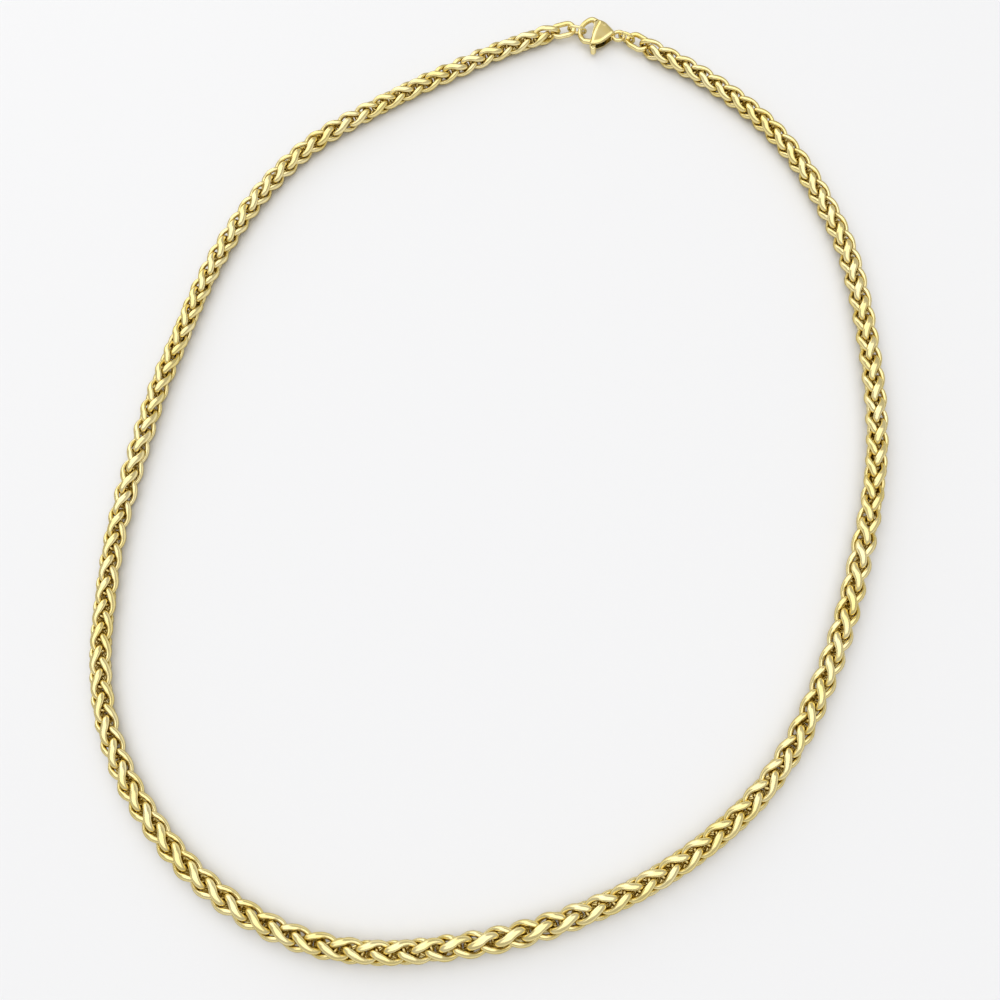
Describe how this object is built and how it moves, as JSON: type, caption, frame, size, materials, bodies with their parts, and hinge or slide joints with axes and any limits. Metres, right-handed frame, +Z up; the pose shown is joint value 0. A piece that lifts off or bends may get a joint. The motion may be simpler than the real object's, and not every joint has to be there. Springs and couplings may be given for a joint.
{
  "type": "wheat chain necklace",
  "caption": "Round wheat chain necklace in gold colour with a lobster clasp, lying closed in an oval loop.",
  "frame": {"origin": "on the surface that the necklace lies on, under the middle of the loop's bounding box", "axes": "+Z up from the surface, +Y towards the clasp along the loop's length, +X to the right seen from above"},
  "size_m": [0.1556, 0.2204, 0.0046],
  "materials": {
    "chain_gold": "polished pale yellow gold plate",
    "ring_gold": "polished pale yellow gold plate",
    "clasp_gold": "polished pale yellow gold plate with satin flat cheeks"
  },
  "bodies": {
    "necklace": {"wheat_chain": "chain_gold", "end_link_left": "chain_gold", "end_link_right": "chain_gold", "hook_ring": "ring_gold", "tail_ring": "ring_gold", "clasp_body": "clasp_gold", "clasp_pin": "clasp_gold"},
    "lever": {"clasp_lever": "clasp_gold"}
  },
  "joints": [
    {"name": "lever_hinge", "type": "hinge", "parent": "necklace", "child": "lever", "pos_m": [-0.0031, 0.10725, 0.00193], "axis": [0, 0, 1], "range_deg": [0, 35], "stiffness_Nm_per_rad": 0.002, "springref_deg": -17.19}
  ]
}
